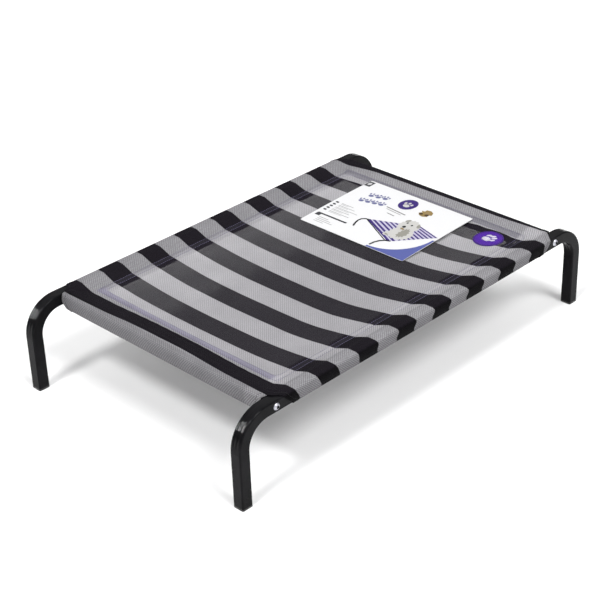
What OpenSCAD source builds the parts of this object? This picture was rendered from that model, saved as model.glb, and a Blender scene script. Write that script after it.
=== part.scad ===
// Raised pet bed: two bent side rails, two bolted crossbars and a striped mesh sling.
// X runs along the side rails, Y across the bed and Z up. Millimetres.
// The origin is on the floor under the middle of the bed.

/* [Frame] */
// Overall length over the legs
bed_length = 1000; // [850:10:1200]
// Overall width over the side rails
bed_width = 610; // [480:10:750]
// Height of the top of the frame tube
bed_height = 190; // [160:5:260]
// Outside size of the square steel tube
tube = 25; // [22:1:25]
// Wall thickness of the steel tube
wall = 1.5; // [1.2:0.1:2]
// Outside corner radius of the square tube
tube_corner = 3; // [2.5:0.5:4]
// Centreline radius of the bend between a side rail and its leg
bend_radius = 60; // [50:5:65]
// Distance from a leg's outer face to the crossbar's centreline
crossbar_inset = 93; // [92:1:120]

/* [Fasteners and plugs] */
// Shank diameter of the corner bolts
bolt_d = 8; // [6:1:8]
// Length of a corner bolt under its head
bolt_length = 45; // [40:5:50]
// Diameter of the button head
bolt_head_d = 14; // [11:0.5:14]
// Height of the button head
bolt_head_h = 4.4; // [3:0.1:4.4]
// Distance across the flats of the hexagon socket
socket_flats = 5; // [4:0.5:5]
// Length of the threaded plug pressed into each crossbar end
end_plug_length = 30; // [26:1:40]
// Thickness of the foot cap under the tube
foot_flange = 4; // [3:0.5:6]
// Depth of the foot cap's ribbed insert inside the leg
foot_insert = 18; // [12:1:25]

/* [Sling] */
// Thickness of one layer of the mesh
mesh_thickness = 0.9; // [0.6:0.1:1.2]
// Distance from a tube's inner face to the seam
seam_inset = 33; // [25:1:50]
// Height of the tube's top above the seam
seam_drop = 10; // [6:1:14]
// Depth of the sag at the middle, below the seam
sag = 9; // [4:1:14]
// Distance that the sleeve's end slants back between its top and its underside
sleeve_slant = 42; // [20:1:50]

/* [Badge and card] */
// Diameter of the sewn badge
badge_d = 64; // [50:1:70]
// Thickness of the sewn badge
badge_thickness = 1.2; // [0.8:0.1:2]
// Width of the printed card, along the bed
card_width = 230; // [180:5:250]
// Length of the printed card, across the bed
card_length = 290; // [200:5:300]
// Thickness of the printed card
card_thickness = 0.6; // [0.4:0.1:1.2]

/* [Hidden] */

// Fits and small sizes
clearance = 0.1;       // between a plug and the tube that it fills
bore_clearance = 0.5;  // bolt hole in a side rail, over the shank's diameter
thread_clearance = 0.2; // threaded hole, over the bolt's diameter
mesh_gap = 0.3;        // between the mesh and the tube
thread_d = 0.8;        // sewing thread, double
stitch_row_gap = 6;    // between the two rows of the seam
socket_depth = 2.6;
rib_h = 2;

// Frame positions
half_length = bed_length / 2;
half_width = bed_width / 2;
half_tube = tube / 2;
bore_side = tube - 2 * wall;
bore_corner = max(tube_corner - wall, 0.5);
rail_y = half_width - half_tube;
rail_inner_y = half_width - tube;
tube_z = bed_height - half_tube;
leg_x = half_length - half_tube;
bend_x = leg_x - bend_radius;
bend_z = tube_z - bend_radius;
bar_x = half_length - crossbar_inset;
bar_inner_x = bar_x - half_tube;

// Sling positions
seam_x = bar_inner_x - seam_inset;
seam_y = rail_inner_y - seam_inset;
seam_z = bed_height - seam_drop;
seam_top = seam_z + mesh_thickness;
sleeve_top = mesh_gap + mesh_thickness;
panel_cells_x = 26;
panel_cells_y = 18;
arc_steps = 6;

// Badge and card positions
badge_x = seam_x - badge_d / 2 - 2;
badge_y = -193;
badge_lift = 0.3;
card_x = 255;
card_y = 26;
card_near_z = 176.2;
card_far_z = 184.9;
card_tilt = atan2(card_far_z - card_near_z, card_width);

$fn = 48;

// Square tube section, with round corners
module rounded_square(side, r) {
    square([side, side - 2 * r], center = true);
    square([side - 2 * r, side], center = true);
    for (sx = [-1, 1], sy = [-1, 1])
        translate([sx * (side / 2 - r), sy * (side / 2 - r)])
            circle(r);
}

module tube_section() {
    difference() {
        rounded_square(tube, tube_corner);
        rounded_square(bore_side, bore_corner);
    }
}

// Straight tube along X, centred
module tube_along_x(length) {
    rotate([0, 90, 0])
        linear_extrude(length, center = true)
            tube_section();
}

// Straight tube along Y, centred
module tube_along_y(length) {
    rotate([90, 0, 0])
        linear_extrude(length, center = true)
            tube_section();
}

// Quarter bend from the rail's end down into the leg, at the +X end
module rail_bend() {
    translate([bend_x, 0, bend_z])
        rotate([90, 0, 0])
            rotate_extrude(angle = 90)
                translate([bend_radius, 0])
                    tube_section();
}

module leg() {
    translate([leg_x, 0, foot_flange])
        linear_extrude(bend_z - foot_flange)
            tube_section();
}

// Side rail in its own plane: one tube whose ends are bent down as legs
module side_rail() {
    difference() {
        union() {
            translate([0, 0, tube_z])
                tube_along_x(2 * bend_x);
            for (end = [0, 1])
                mirror([end, 0, 0]) {
                    rail_bend();
                    leg();
                }
        }
        for (sx = [-1, 1])
            translate([sx * bar_x, 0, tube_z])
                rotate([90, 0, 0])
                    cylinder(d = bolt_d + bore_clearance, h = tube + 2, center = true);
    }
}

module side_rail_left() {
    color("#111214")
        translate([0, rail_y, 0])
            side_rail();
}

module side_rail_right() {
    color("#111214")
        translate([0, -rail_y, 0])
            side_rail();
}

module crossbar(sx) {
    color("#131416")
        translate([sx * bar_x, 0, tube_z])
            tube_along_y(2 * rail_inner_y);
}

module crossbar_near() {
    crossbar(-1);
}

module crossbar_far() {
    crossbar(1);
}

// Threaded plug flush with a crossbar's end
module end_plug(sx, sy) {
    color("#2b2c2e")
        translate([sx * bar_x, sy * (rail_inner_y - end_plug_length / 2), tube_z])
            rotate([90, 0, 0])
                difference() {
                    linear_extrude(end_plug_length, center = true)
                        rounded_square(bore_side - 2 * clearance, bore_corner);
                    cylinder(d = bolt_d + thread_clearance, h = end_plug_length + 2, center = true);
                }
}

module end_plug_near_left() {
    end_plug(-1, 1);
}

module end_plug_near_right() {
    end_plug(-1, -1);
}

module end_plug_far_left() {
    end_plug(1, 1);
}

module end_plug_far_right() {
    end_plug(1, -1);
}

// Button-head bolt: the shank runs along -Z from the head's flat underside
module button_bolt() {
    dome_r = (pow(bolt_head_d / 2, 2) + pow(bolt_head_h, 2)) / (2 * bolt_head_h);
    translate([0, 0, -bolt_length])
        cylinder(d = bolt_d, h = bolt_length);
    difference() {
        intersection() {
            cylinder(d = bolt_head_d, h = bolt_head_h);
            translate([0, 0, bolt_head_h - dome_r])
                sphere(dome_r);
        }
        translate([0, 0, bolt_head_h - socket_depth])
            cylinder(d = socket_flats / cos(30), h = socket_depth + 1, $fn = 6);
    }
}

module corner_bolts() {
    color("#c9ccd2")
        for (sx = [-1, 1], sy = [-1, 1])
            translate([sx * bar_x, sy * half_width, tube_z])
                rotate([-sy * 90, 0, 0])
                    button_bolt();
}

// Plastic cap: a flange under the leg and a ribbed insert inside it
module foot_cap(sx, sy) {
    insert_side = bore_side - 2 * clearance;
    core_side = insert_side - 3;
    color("#0c0c0d")
        translate([sx * leg_x, sy * rail_y, 0]) {
            linear_extrude(foot_flange)
                rounded_square(tube, tube_corner);
            linear_extrude(foot_flange + foot_insert)
                rounded_square(core_side, bore_corner);
            for (z = [foot_flange + 2 : rib_h * 2.5 : foot_flange + foot_insert - rib_h])
                translate([0, 0, z])
                    linear_extrude(rib_h)
                        rounded_square(insert_side, bore_corner);
        }
}

module foot_cap_near_left() {
    foot_cap(-1, 1);
}

module foot_cap_near_right() {
    foot_cap(-1, -1);
}

module foot_cap_far_left() {
    foot_cap(1, 1);
}

module foot_cap_far_right() {
    foot_cap(1, -1);
}

// Underside and top of the sagging panel
function panel_z(x, y) = seam_z
    - sag * (1 - pow(x / seam_x, 8)) * (1 - pow(y / seam_y, 2));
function panel_top(x, y) = panel_z(x, y) + mesh_thickness / 2;

// Height of the sleeve's upper layer at a distance outboard of the seam
function slope_top(d) = seam_top + (bed_height + sleeve_top - seam_top) * d / seam_inset;

// Closed sheet over a grid of columns and rows: top is a function value list, bottom the same
module sheet(upper, lower, columns, rows) {
    layer = (columns + 1) * (rows + 1);
    function at(i, j) = i * (rows + 1) + j;
    rim = concat(
        [for (i = [0 : columns - 1]) at(i, 0)],
        [for (j = [0 : rows - 1]) at(columns, j)],
        [for (i = [columns : -1 : 1]) at(i, rows)],
        [for (j = [rows : -1 : 1]) at(0, j)]
    );
    count = len(rim);
    faces = concat(
        [for (i = [0 : columns - 1], j = [0 : rows - 1])
            each [[at(i, j), at(i, j + 1), at(i + 1, j + 1)], [at(i, j), at(i + 1, j + 1), at(i + 1, j)]]],
        [for (i = [0 : columns - 1], j = [0 : rows - 1])
            each [[layer + at(i, j), layer + at(i + 1, j + 1), layer + at(i, j + 1)],
                  [layer + at(i, j), layer + at(i + 1, j), layer + at(i + 1, j + 1)]]],
        [for (k = [0 : count - 1])
            each [[rim[k], rim[(k + 1) % count], layer + rim[(k + 1) % count]],
                  [rim[k], layer + rim[(k + 1) % count], layer + rim[k]]]]
    );
    polyhedron(points = concat(upper, lower), faces = faces);
}

// Single layer of mesh inside the seam
module sling_panel() {
    columns = panel_cells_x;
    rows = panel_cells_y;
    spots = [for (i = [0 : columns], j = [0 : rows])
        [seam_x * (2 * i / columns - 1), seam_y * (2 * j / rows - 1)]];
    upper = [for (s = spots) [s[0], s[1], panel_top(s[0], s[1])]];
    lower = [for (s = spots) [s[0], s[1], panel_top(s[0], s[1]) - mesh_thickness]];
    color("#8f8f94")
        sheet(upper, lower, columns, rows);
}

// Points of an arc, from one angle to another
function arc(cx, cy, r, from, to) = [for (k = [0 : arc_steps])
    let (a = from + (to - from) * k / arc_steps) [cx + r * cos(a), cy + r * sin(a)]];

// Sleeve outline at one offset from the tube: the tube's far corners, then a taper to the seam.
// First axis outboard from the tube's centre, second axis up from it.
function sleeve_outline(off, tip_u, tip_half) =
    let (
        c = half_tube - tube_corner,
        r = tube_corner + off,
        tip_v = seam_z - tube_z,
        top_lean = atan2(half_tube + off - tip_v - tip_half, seam_inset),
        low_lean = atan2(half_tube + off + tip_v - tip_half, seam_inset)
    )
    concat(
        arc(c, -c, r, -90, 0),
        arc(c, c, r, 0, 90),
        arc(-c, c, r, 90, 90 + top_lean),
        [[tip_u, tip_v + tip_half], [tip_u, tip_v - tip_half]],
        arc(-c, -c, r, 270 - low_lean, 270)
    );

module sleeve_section() {
    tip = -(half_tube + seam_inset);
    difference() {
        polygon(sleeve_outline(sleeve_top, tip, mesh_thickness));
        polygon(sleeve_outline(mesh_gap, tip + 3, 0.05));
    }
}

// Side view of a sleeve: its ends slant back from the top to the underside
module sleeve_side_view(top_half) {
    z_top = bed_height + 4;
    z_low = bed_height - tube - 4;
    slant = sleeve_slant;
    polygon([
        [-top_half, z_top], [top_half, z_top],
        [top_half - slant, z_low], [slant - top_half, z_low]
    ]);
}

// Plan of a sleeve: mitred from the seam's corner to the inner corner of the two tubes
module sleeve_plan(seam_half, inner_half, outer_half, seam_y0, inner_y0) {
    outer_y0 = inner_y0 + tube + 4;
    polygon([
        [-seam_half, seam_y0 - 1], [seam_half, seam_y0 - 1], [seam_half, seam_y0],
        [inner_half, inner_y0], [outer_half, inner_y0], [outer_half, outer_y0],
        [-outer_half, outer_y0], [-outer_half, inner_y0], [-inner_half, inner_y0], [-seam_half, seam_y0]
    ]);
}

// Sleeve along X on the +Y side of the bed
module rail_sleeve() {
    top_half = bar_x - 3;
    intersection() {
        translate([0, rail_y, tube_z])
            rotate([90, 0, 90])
                linear_extrude(2 * bar_x, center = true)
                    sleeve_section();
        rotate([90, 0, 0])
            linear_extrude(bed_width + 20, center = true)
                sleeve_side_view(top_half);
        linear_extrude(bed_height + 20)
            sleeve_plan(seam_x, bar_inner_x - clearance, bar_x, seam_y, rail_inner_y);
    }
}

// Sleeve along Y on the +X end of the bed
module bar_sleeve() {
    top_half = rail_inner_y - 0.5;
    intersection() {
        translate([bar_x, 0, tube_z])
            rotate([90, 0, 0])
                linear_extrude(2 * rail_inner_y, center = true)
                    sleeve_section();
        rotate([90, 0, 90])
            linear_extrude(bed_length + 20, center = true)
                sleeve_side_view(top_half);
        rotate([0, 0, -90])
            mirror([1, 0, 0])
                linear_extrude(bed_height + 20)
                    sleeve_plan(
                        seam_y, rail_inner_y - 2 * clearance, rail_inner_y - 2 * clearance,
                        seam_x, bar_inner_x
                    );
    }
}

module sleeve_left() {
    color("#7f7f84")
        rail_sleeve();
}

module sleeve_right() {
    color("#7f7f84")
        mirror([0, 1, 0])
            rail_sleeve();
}

module sleeve_near() {
    color("#98989c")
        mirror([1, 0, 0])
            bar_sleeve();
}

module sleeve_far() {
    color("#26262a")
        bar_sleeve();
}

// One row of thread round the bed, at a distance outboard of the seam
module stitch_row(d) {
    translate([0, 0, slope_top(d + thread_d) + 0.05])
        linear_extrude(thread_d)
            difference() {
                square([2 * (seam_x + d) + thread_d, 2 * (seam_y + d) + thread_d], center = true);
                square([2 * (seam_x + d) - thread_d, 2 * (seam_y + d) - thread_d], center = true);
            }
}

module seam_stitching() {
    color("#4d4d55") {
        stitch_row(1);
        stitch_row(1 + stitch_row_gap);
    }
}

// Square sheet that lies over the panel and follows its sag
module laid_sheet(x0, y0, side, lift, thickness) {
    cells = 6;
    spots = [for (i = [0 : cells], j = [0 : cells])
        [x0 + side * (i / cells - 0.5), y0 + side * (j / cells - 0.5)]];
    upper = [for (s = spots) [s[0], s[1], panel_top(s[0], s[1]) + lift + thickness]];
    lower = [for (s = spots) [s[0], s[1], panel_top(s[0], s[1]) + lift]];
    sheet(upper, lower, cells, cells);
}

module badge() {
    color("#5b2fb0")
        intersection() {
            laid_sheet(badge_x, badge_y, badge_d + 2, badge_lift, badge_thickness);
            translate([badge_x, badge_y, 0])
                cylinder(d = badge_d, h = bed_height);
        }
}

// Thread round the badge's edge
module badge_stitching() {
    color("#4a2a96")
        intersection() {
            laid_sheet(badge_x, badge_y, badge_d + 2, badge_lift + badge_thickness, thread_d / 2);
            translate([badge_x, badge_y, 0])
                difference() {
                    cylinder(d = badge_d - 2, h = bed_height);
                    translate([0, 0, -1])
                        cylinder(d = badge_d - 2 - 2 * thread_d, h = bed_height + 2);
                }
        }
}

// Stiff card: its near edge lies on the mesh and its far edge on the far sleeve
module printed_card() {
    color("white")
        translate([card_x, card_y, (card_near_z + card_far_z) / 2])
            rotate([0, -card_tilt, 0])
                translate([-card_width / 2, -card_length / 2, 0])
                    cube([card_width, card_length, card_thickness]);
}

side_rail_left();
side_rail_right();
crossbar_near();
crossbar_far();
end_plug_near_left();
end_plug_near_right();
end_plug_far_left();
end_plug_far_right();
corner_bolts();
foot_cap_near_left();
foot_cap_near_right();
foot_cap_far_left();
foot_cap_far_right();
sling_panel();
sleeve_left();
sleeve_right();
sleeve_near();
sleeve_far();
seam_stitching();
badge();
badge_stitching();
printed_card();
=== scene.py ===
"""Raised pet bed: the looks of the striped mesh sling, the gloss frame, the badge and the printed card.

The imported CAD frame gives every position. Lengths here are in metres.
"""
import math

import bmesh
import bpy
import numpy as np
from mathutils import Matrix, Vector


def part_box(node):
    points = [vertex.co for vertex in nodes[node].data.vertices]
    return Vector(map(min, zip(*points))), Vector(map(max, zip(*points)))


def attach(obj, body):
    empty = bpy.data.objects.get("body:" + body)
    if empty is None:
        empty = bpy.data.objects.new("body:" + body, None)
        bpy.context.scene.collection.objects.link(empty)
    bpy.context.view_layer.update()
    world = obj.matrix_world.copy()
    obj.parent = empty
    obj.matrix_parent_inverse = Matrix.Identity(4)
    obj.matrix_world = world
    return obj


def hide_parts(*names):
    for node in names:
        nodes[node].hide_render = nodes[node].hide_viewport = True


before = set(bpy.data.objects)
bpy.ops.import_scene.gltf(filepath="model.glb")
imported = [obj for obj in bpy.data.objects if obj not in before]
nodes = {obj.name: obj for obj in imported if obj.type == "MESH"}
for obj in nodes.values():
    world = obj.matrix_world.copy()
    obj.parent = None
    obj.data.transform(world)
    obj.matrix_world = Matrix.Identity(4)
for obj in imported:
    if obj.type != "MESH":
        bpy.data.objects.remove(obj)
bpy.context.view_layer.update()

MM = 0.001

# Places read from the CAD frame
_, rail_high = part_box("side_rail_left")
bar_low, bar_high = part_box("crossbar_far")
panel_low, panel_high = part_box("sling_panel")
badge_low, badge_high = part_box("badge")
card_low, card_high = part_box("printed_card")

TUBE = bar_high.x - bar_low.x
HALF_TUBE = TUBE / 2
TUBE_Z = bar_high.z - HALF_TUBE
LAYER = 0.9 * MM
SEAM_X = panel_high.x
SEAM_Y = panel_high.y
SEAM_Z = panel_high.z - LAYER / 2
SAG = SEAM_Z - LAYER / 2 - panel_low.z
SEAM_INSET = bar_low.x - SEAM_X

RAIL_Y = rail_high.y - HALF_TUBE
BEND_RADIUS = 60 * MM
BEND_X = rail_high.x - HALF_TUBE - BEND_RADIUS
BEND_Z = rail_high.z - HALF_TUBE - BEND_RADIUS
CREASE = 7.5 * MM           # pitch of the faint creases along the bends
SOCKET_SHADE_RADIUS = 3.0 * MM           # radius of the socket in a bolt's head, painted dark as shade in the recess

# Cut of the sling, as distances over the cloth outboard of the seam
SLEEVE_GAP = 1.3 * MM       # tube face to the middle of the cloth
SLEEVE_ROUND = 6.0 * MM     # radius of the cloth round the tube's corners
OUTER_BOW = 0.9 * MM        # how far the cloth bows out between the tube's corners
SEAM_BAND = 6.0 * MM        # outer row of the seam
ROW_INSIDE = 9.0 * MM       # inner edge of the seam's band
HEM_INSIDE = 17.0 * MM      # hem that lies under the panel, inside the seam
SEAM_NEAR = 12.0 * MM - SEAM_X      # the near seam lies a little inside the slope
SEAM_FAR = SEAM_X + 13.0 * MM       # and the far seam on the slope
LAYER_GAP = 1.0 * MM        # middle of one layer to the middle of the next
HEM_WIDTH = 15 * MM         # doubled cloth along a cut end
HEM_LIFT = 0.55 * MM
SEAM_THREAD = 0.8 * MM
CLOTH_STEP = 2.6 * MM
PANEL_STEP = 8.0 * MM
EASE = 60 * MM              # stretch of cloth that takes up the slant of a sleeve's end
BAR_SLACK = 7.0 * MM        # how far the sleeves on the crossbars hang below their tubes

# Striped mesh
STRIPE_REPEAT = 100.93 * MM
BLACK_SHARE = 0.4945
FIRST_BLACK = -406.6 * MM
YARN = 2.7 * MM             # one cell of the weave, a pair of yarns wide
STRIPE_EDGE = 0.8 * MM      # how soft the change from black to silver is
STRIPE_SKEW = 4 * MM        # how far the stripes run out of square over the panel's width
STRIPE_WOBBLE = 3 * MM
SIDE_SLANT = 10 * MM        # how far the stripes run forward down the right side's face
RIB = 4.2 * MM              # pitch of the puckers beside a cut end
OPEN_SHARE = 0.06           # light that the single layer lets through


# ---- shader builder

class Nodes:
    """Adds nodes to a node tree. Values are sockets or plain numbers."""

    def __init__(self, tree):
        self.tree = tree

    def node(self, kind, **settings):
        made = self.tree.nodes.new("ShaderNode" + kind)
        for key, value in settings.items():
            setattr(made, key, value)
        return made

    def feed(self, socket, value):
        if isinstance(value, bpy.types.NodeSocket):
            self.tree.links.new(value, socket)
        else:
            socket.default_value = value

    def wired(self, kind, *values, **settings):
        """Outputs of a new node whose inputs take these values, in order."""
        made = self.node(kind, **settings)
        for socket, value in zip(made.inputs, values):
            self.feed(socket, value)
        return made.outputs

    def named(self, kind, **inputs):
        """First output of a new node whose inputs take these values, by name."""
        made = self.node(kind)
        for key, value in inputs.items():
            self.feed(made.inputs[key], value)
        return made.outputs[0]

    def math(self, operation, *values):
        return self.wired("Math", *values, operation=operation)[0]

    def plus(self, first, *others):
        for value in others:
            first = self.math("ADD", first, value)
        return first

    def times(self, first, *others):
        for value in others:
            first = self.math("MULTIPLY", first, value)
        return first

    def minus(self, first, second):
        return self.math("SUBTRACT", first, second)

    def size(self, value):
        return self.math("ABSOLUTE", value)

    def step(self, value, low, high, start=0.0, end=1.0):
        return self.wired("MapRange", value, low, high, start, end, interpolation_type="SMOOTHSTEP")[0]

    def fall(self, value, low, high):
        return self.step(value, low, high, 1.0, 0.0)

    def split(self, vector):
        return tuple(self.wired("SeparateXYZ", vector))


class Shader(Nodes):
    """Builds one node material round its Principled node."""

    def __init__(self, name):
        self.mat = bpy.data.materials.new(name)
        self.mat.use_nodes = True
        super().__init__(self.mat.node_tree)
        self.bsdf = next(n for n in self.tree.nodes if n.type == "BSDF_PRINCIPLED")

    def set(self, **values):
        """Sets or links Principled sockets (Base_Color=... is the socket Base Color); gives the material."""
        for key, value in values.items():
            self.feed(self.bsdf.inputs[key.replace("_", " ")], value)
        return self.mat

    def mix(self, share, first, second, blend="MIX"):
        made = self.node("Mix", data_type="RGBA", blend_type=blend)
        self.feed(made.inputs[0], share)
        self.feed(made.inputs[6], first)
        self.feed(made.inputs[7], second)
        return made.outputs[2]

    def tints(self, base, *tints):
        """Base colour with a share of each tint mixed in over its region."""
        for region, share, tint in tints:
            base = self.mix(self.times(region, share), base, colour(*tint))
        return base

    def noise(self, vector, scale, detail=3.0, rough=0.55, distortion=0.0):
        return self.named("TexNoise", Vector=vector, Scale=scale, Detail=detail, Roughness=rough,
                          Distortion=distortion)

    def place(self, stretch=(1, 1, 1)):
        return self.named("Mapping", Vector=self.node("TexCoord").outputs["Object"], Scale=stretch)

    def bump(self, height, distance, strength=1.0, normal=None):
        inputs = {"Strength": strength, "Distance": distance, "Height": height}
        if normal is not None:
            inputs["Normal"] = normal
        return self.named("Bump", **inputs)


def grey(value):
    return (value, value, value, 1)


def colour(red, green, blue):
    return (red, green, blue, 1)


# ---- materials

def weave(s, across, along, yarn):
    """Over-and-under pattern of paired yarns: (whether the cross yarns are on top, height of the yarns)."""
    column = s.math("DIVIDE", across, yarn)
    row = s.math("DIVIDE", along, yarn)
    pick = s.plus(s.math("FLOOR", column), s.math("FLOOR", row))
    under = s.math("LESS_THAN", s.math("FLOORED_MODULO", pick, 2.0), 0.5)
    hump_column, hump_row = (s.size(s.math("SINE", s.times(part, 2 * math.pi))) for part in (column, row))
    return under, s.plus(s.times(hump_column, s.minus(1.0, under)), s.times(hump_row, under))


def stripe_drift(s, p, q):
    """How far the stretching pulls the stripes along the bed, region by region.

    Each pull is a product of smooth steps: (place in mm, low, high, value below, value above).
    """
    p, q = s.times(p, 1 / MM), s.times(q, 1 / MM)
    side = s.size(q)
    edge = -(SEAM_Y + TOP_OUT) / MM
    near_half = ((p, -400, -300, 0, 1), (p, -150, 100, 1, 0), (side, 120, 290, -11, -5))
    near_corners = ((p, -380, -300, 1, 0), (side, 40, 200, -1, -8))
    right_side = ((p, -300, -50, 0, 1), (p, 340, 410, 1, 0.4),
                  (q, -290, -140, 16, 0), (q, edge - 17, edge - 2, 0.1, 1))
    by_badge = ((p, 315, 345, 0, 1), (p, 375, 400, 1, 0), (q, -240, -190, 0, 9), (q, -140, -90, 1, 0))
    left_side = ((p, 50, 330, 0, 1), (q, 170, 290, 0, -10))
    pulls = [s.times(*[s.step(*step) for step in steps])
             for steps in (near_half, near_corners, right_side, by_badge, left_side)]
    return s.times(s.plus(*pulls), MM)


def black_stripes(s, p, q, place):
    """Share of black at a place of the cut cloth: 1 on the black stripes, 0 on the silver ones."""
    skew = s.times(s.minus(SEAM_Y, q), STRIPE_SKEW / (2 * SEAM_Y))
    slant = s.step(s.minus(s.size(q), SEAM_Y), 54 * MM, 84 * MM, 0.0, SIDE_SLANT)
    shift = s.plus(skew, s.times(slant, s.math("LESS_THAN", q, 0.0)))
    wobble = s.times(s.minus(s.noise(place, 6.0, 2.0), 0.5), STRIPE_WOBBLE)
    along = s.plus(s.minus(s.minus(p, shift), stripe_drift(s, p, q)), wobble)
    turn = s.math("FRACT", s.math("DIVIDE", s.minus(along, FIRST_BLACK), STRIPE_REPEAT))
    edge = STRIPE_EDGE / STRIPE_REPEAT
    return s.times(s.step(turn, 0.0, edge), s.fall(turn, BLACK_SHARE - edge, BLACK_SHARE))


def silver_yarns(s, p, q, single, band, shaded_outer_face, tone):
    """Colour of the silver yarns: lighter in the single layer, partly painted light through its holes;
    painted light on the right slope; painted shade on the left slope and on the tube's outer faces; darker at
    the seams.
    """
    near_seam = s.times(band, s.fall(p, 16 * MM - SEAM_X, 34 * MM - SEAM_X))
    far_seam = s.times(band, s.step(p, SEAM_FAR - 12 * MM, SEAM_FAR - 8 * MM))
    # painted shade on the left slope and painted light on the right slope: one side of the sleeve tops
    # darker, the other lighter, as the light falls
    painted_shade_left_slope = s.step(q, SEAM_Y - 4 * MM, SEAM_Y + 4 * MM)
    painted_light_right_slope = s.times(s.step(q, -SEAM_Y - TOP_IN, -SEAM_Y - TOP_IN + 8 * MM),
                          s.fall(q, 4 * MM - SEAM_Y, 14 * MM - SEAM_Y))
    light = s.mix(s.step(tone, 0.3, 0.7), colour(0.27, 0.266, 0.28), colour(0.34, 0.335, 0.35))
    # the single layer is drawn lighter: partly the real layer without the black tube beneath, partly painted
    # light that comes up through its holes
    light = s.mix(single, light, colour(0.37, 0.363, 0.380))
    return s.tints(light, (band, 0.45, (0.25, 0.243, 0.275)), (near_seam, 0.45, (0.22, 0.20, 0.33)),
                   (far_seam, 0.5, (0.13, 0.125, 0.16)), (painted_shade_left_slope, 0.22, (0.15, 0.148, 0.155)),
                   (painted_light_right_slope, 0.7, (0.48, 0.47, 0.49)), (shaded_outer_face, 0.42, (0.14, 0.138, 0.145)))


def black_yarns(s, single, band, shaded_outer_face, tone):
    """Colour of the black yarns: lighter in the single layer, partly painted light through its holes, and at
    the seams; darkest on the tube's outer faces, in painted shade.
    """
    jet = s.mix(s.step(tone, 0.3, 0.7), colour(0.0066, 0.0055, 0.0078), colour(0.012, 0.0102, 0.0138))
    # lighter single layer: partly real, partly painted light through its holes
    return s.tints(jet, (single, 0.6, (0.0150, 0.0125, 0.0185)), (band, 0.6, (0.026, 0.024, 0.032)),
                   (shaded_outer_face, 0.8, (0.0012, 0.0012, 0.0014)))


def striped_mesh():
    """Woven coated mesh: black and silver yarns across the bed, dark yarns along it."""
    s = Shader("striped_mesh")
    place = s.node("UVMap", uv_map="cut").outputs[0]
    p, q, _ = s.split(place)
    past_ends = s.math("MAXIMUM", s.minus(p, SEAM_FAR), s.minus(SEAM_NEAR, p))
    outboard = s.math("MAXIMUM", past_ends, s.minus(s.size(q), SEAM_Y))
    single = s.fall(outboard, -1.5 * MM, 0.5 * MM)
    band = s.times(s.step(outboard, -ROW_INSIDE, -ROW_INSIDE + 2 * MM),
                   s.fall(outboard, SEAM_BAND - 1 * MM, SEAM_BAND + 1.5 * MM))
    # painted shade on the tube's outer faces, where a little more of the black tube also shows through the
    # stretched mesh
    shaded_outer_face = s.step(outboard, TOP_OUT - 4 * MM, TOP_OUT + 3 * MM)
    tone = s.noise(place, 260.0, 2.0)
    patch = s.noise(place, 14.0, 3.0)

    under, height = weave(s, p, q, YARN)
    black = black_stripes(s, p, q, place)
    light = silver_yarns(s, p, q, single, band, shaded_outer_face, tone)
    # fewer dark yarns show in the single layer, partly painted light through its holes; more show on the
    # outer faces, as painted shade
    depth = s.plus(s.times(single, -0.22), s.times(shaded_outer_face, 0.05))
    silver = s.mix(s.times(under, s.plus(depth, 0.6)), light, colour(0.075, 0.072, 0.08))
    base = s.mix(black, silver, black_yarns(s, single, band, shaded_outer_face, tone))
    base = s.mix(1.0, base, s.step(patch, 0.3, 0.7, 0.93, 1.04), "MULTIPLY")
    # painted shade: the colour darkens in the hollows between the yarn humps
    base = s.mix(1.0, base, s.step(height, 0.0, 0.7, 0.72, 1.0), "MULTIPLY")

    from_end = s.node("Attribute", attribute_name="folds").outputs["Fac"]
    rib = s.math("SINE", s.times(from_end, 2 * math.pi / RIB))
    ribs = s.times(rib, s.fall(from_end, 1 * MM, 17 * MM))
    base = s.mix(s.times(s.step(ribs, 0.2, 1.0), 0.35), base, s.mix(black, grey(0.22), grey(0.004)))

    solid = s.minus(1.0, s.times(single, OPEN_SHARE))
    inside = s.times(s.node("NewGeometry").outputs["Backfacing"], single)
    s.set(Base_Color=base, Alpha=s.times(solid, s.minus(1.0, inside)))
    s.set(Roughness=s.step(tone, 0.2, 0.8, 0.5, 0.68), Specular_IOR_Level=0.03)
    return s.set(Normal=s.bump(ribs, 0.7 * MM, 0.7, s.bump(height, 0.35 * MM, 0.6)))


def powder_coat():
    """Gloss black powder coat: orange peel, faint scuffs and dust."""
    s = Shader("powder_coat")
    place = s.place()
    peel = s.noise(place, 900.0, 2.0)
    swell = s.noise(place, 120.0, 2.0)
    cloud = s.noise(place, 22.0, 4.0)
    scuff = s.noise(s.place((1, 1, 6)), 60.0, 6.0, 0.7, 0.6)
    mark = s.step(scuff, 0.66, 0.74)
    base = s.mix(s.step(cloud, 0.3, 0.7), colour(0.004, 0.004, 0.0045), colour(0.0085, 0.0082, 0.0095))
    base = s.mix(s.times(mark, 0.30), base, grey(0.04))
    rough = s.plus(s.step(cloud, 0.3, 0.75, 0.055, 0.10), s.times(mark, 0.2))
    s.set(Base_Color=base, Roughness=rough, Specular_IOR_Level=0.065)
    x, y, z = s.split(place)
    in_bend = s.step(s.math("MINIMUM", s.minus(s.size(x), BEND_X), s.minus(z, BEND_Z)), 4 * MM, 20 * MM)
    crease = s.math("COSINE", s.times(s.minus(s.size(y), RAIL_Y), 2 * math.pi / CREASE))
    creased = s.bump(s.times(crease, in_bend), 0.25 * MM, 0.8)
    ripple = s.bump(swell, 0.35 * MM, 0.25, creased)
    return s.set(Normal=s.bump(peel, 0.06 * MM, 0.35, ripple))


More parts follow.
